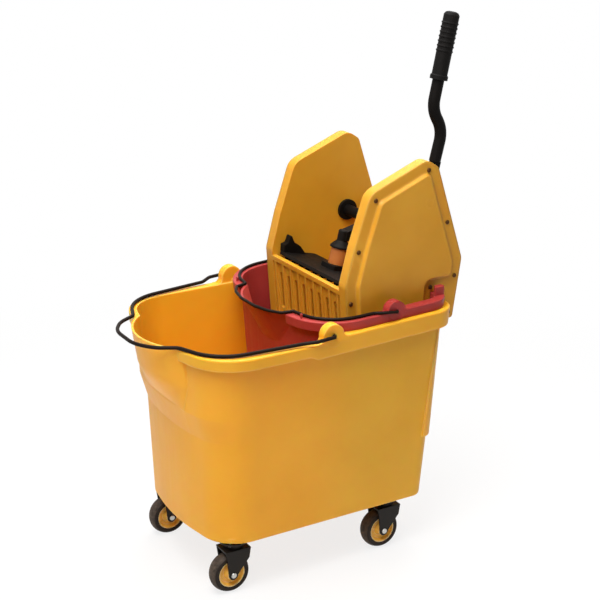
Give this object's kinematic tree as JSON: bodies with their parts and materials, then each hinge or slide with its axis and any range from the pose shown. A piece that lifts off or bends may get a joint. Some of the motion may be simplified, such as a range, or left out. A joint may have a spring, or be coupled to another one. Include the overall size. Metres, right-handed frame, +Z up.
{
  "type": "mop bucket trolley",
  "caption": "Moulded mop bucket on swivel castors with a spout, wire bails, a lift-out red inner bucket and a down-press wringer worked by an S-bent lever through a pinion and toothed sector.",
  "frame": {"origin": "on the ground, midway between the four wheels", "axes": "+X towards the wringer end, -X towards the spout, +Y across to the side away from the lever, +Z up"},
  "size_m": [0.6127, 0.4086, 1.0015],
  "materials": {
    "yellow_tub_plastic": "moulded polypropylene, satin",
    "yellow_wringer_plastic": "moulded polypropylene, satin",
    "red_plastic": "moulded polypropylene, satin",
    "black_wire": "black plastic-coated steel wire",
    "black_tube": "black powder-coated steel",
    "black_grip": "soft black grip",
    "black_plastic": "moulded nylon, dull",
    "black_castor_steel": "black-coated pressed steel",
    "yellow_hub_plastic": "moulded, satin",
    "tyre": "solid black tyre",
    "dark_screw_steel": "blackened steel",
    "zinc_steel": "zinc-plated steel"
  },
  "bodies": {
    "tub": {"tub": "yellow_tub_plastic", "castor_screws": "zinc_steel", "castor_plate_front_near": "black_castor_steel", "castor_plate_front_far": "black_castor_steel", "castor_plate_rear_near": "black_castor_steel", "castor_plate_rear_far": "black_castor_steel"},
    "tub_bail": {"tub_bail": "black_wire"},
    "red_bucket": {"red_bucket": "red_plastic"},
    "red_bail": {"red_bail": "black_wire"},
    "wringer": {"wringer_body": "yellow_wringer_plastic", "cheek_cover_near": "yellow_wringer_plastic", "cheek_cover_far": "yellow_wringer_plastic", "cover_screws_near": "dark_screw_steel", "cover_screws_far": "dark_screw_steel", "shaft_bush_near": "black_plastic", "shaft_bush_far": "black_plastic", "lever_pin": "zinc_steel"},
    "press": {"cross_shaft": "black_tube", "press_sector": "black_plastic", "press_arm": "black_plastic", "press_foot": "yellow_wringer_plastic", "press_plate": "black_plastic", "press_screws": "zinc_steel"},
    "lever": {"lever_tube": "black_tube", "lever_grip": "black_grip", "lever_pinion": "black_plastic"},
    "swivel_front_near": {"castor_fork_front_near": "black_castor_steel", "axle_bolt_front_near": "zinc_steel", "axle_nut_front_near": "zinc_steel"},
    "wheel_front_near": {"castor_hub_front_near": "yellow_hub_plastic", "castor_tyre_front_near": "tyre"},
    "swivel_front_far": {"castor_fork_front_far": "black_castor_steel", "axle_bolt_front_far": "zinc_steel", "axle_nut_front_far": "zinc_steel"},
    "wheel_front_far": {"castor_hub_front_far": "yellow_hub_plastic", "castor_tyre_front_far": "tyre"},
    "swivel_rear_near": {"castor_fork_rear_near": "black_castor_steel", "axle_bolt_rear_near": "zinc_steel", "axle_nut_rear_near": "zinc_steel"},
    "wheel_rear_near": {"castor_hub_rear_near": "yellow_hub_plastic", "castor_tyre_rear_near": "tyre"},
    "swivel_rear_far": {"castor_fork_rear_far": "black_castor_steel", "axle_bolt_rear_far": "zinc_steel", "axle_nut_rear_far": "zinc_steel"},
    "wheel_rear_far": {"castor_hub_rear_far": "yellow_hub_plastic", "castor_tyre_rear_far": "tyre"}
  },
  "joints": [
    {"name": "tub_bail_swing", "type": "hinge", "parent": "tub", "child": "tub_bail", "pos_m": [0.015, 0, 0.477], "axis": [0, 1, 0], "range_deg": [0, 90]},
    {"name": "red_bucket_lift", "type": "slide", "parent": "tub", "child": "red_bucket", "axis": [0, 0, 1], "range_m": [0, 0.06]},
    {"name": "red_bail_swing", "type": "hinge", "parent": "red_bucket", "child": "red_bail", "pos_m": [0.15, 0, 0.49451], "axis": [0, 1, 0], "range_deg": [0, 50]},
    {"name": "wringer_lift", "type": "slide", "parent": "red_bucket", "child": "wringer", "axis": [0, 0, 1], "range_m": [0, 0.06]},
    {"name": "press_turn", "type": "hinge", "parent": "wringer", "child": "press", "pos_m": [0.237, 0, 0.594], "axis": [0, 1, 0], "range_deg": [-40.62, 0]},
    {"name": "lever_swing", "type": "hinge", "parent": "wringer", "child": "lever", "pos_m": [0.24296, -0.132, 0.66977], "axis": [0, 1, 0], "range_deg": [0, 88.01]},
    {"name": "castor_swivel_front_near", "type": "hinge", "parent": "tub", "child": "swivel_front_near", "pos_m": [-0.1505, -0.126, 0.09], "axis": [0, 0, 1], "continuous": true},
    {"name": "wheel_turn_front_near", "type": "hinge", "parent": "swivel_front_near", "child": "wheel_front_near", "pos_m": [-0.161, -0.126, 0.0375], "axis": [0, 1, 0], "continuous": true},
    {"name": "castor_swivel_front_far", "type": "hinge", "parent": "tub", "child": "swivel_front_far", "pos_m": [-0.1505, 0.126, 0.09], "axis": [0, 0, 1], "continuous": true},
    {"name": "wheel_turn_front_far", "type": "hinge", "parent": "swivel_front_far", "child": "wheel_front_far", "pos_m": [-0.161, 0.126, 0.0375], "axis": [0, 1, 0], "continuous": true},
    {"name": "castor_swivel_rear_near", "type": "hinge", "parent": "tub", "child": "swivel_rear_near", "pos_m": [0.1715, -0.126, 0.09], "axis": [0, 0, 1], "continuous": true},
    {"name": "wheel_turn_rear_near", "type": "hinge", "parent": "swivel_rear_near", "child": "wheel_rear_near", "pos_m": [0.161, -0.126, 0.0375], "axis": [0, 1, 0], "continuous": true},
    {"name": "castor_swivel_rear_far", "type": "hinge", "parent": "tub", "child": "swivel_rear_far", "pos_m": [0.1715, 0.126, 0.09], "axis": [0, 0, 1], "continuous": true},
    {"name": "wheel_turn_rear_far", "type": "hinge", "parent": "swivel_rear_far", "child": "wheel_rear_far", "pos_m": [0.161, 0.126, 0.0375], "axis": [0, 1, 0], "continuous": true}
  ],
  "couplings": [
    {"joint": "lever_swing", "follows": "press_turn", "ratio": -2.1667}
  ]
}
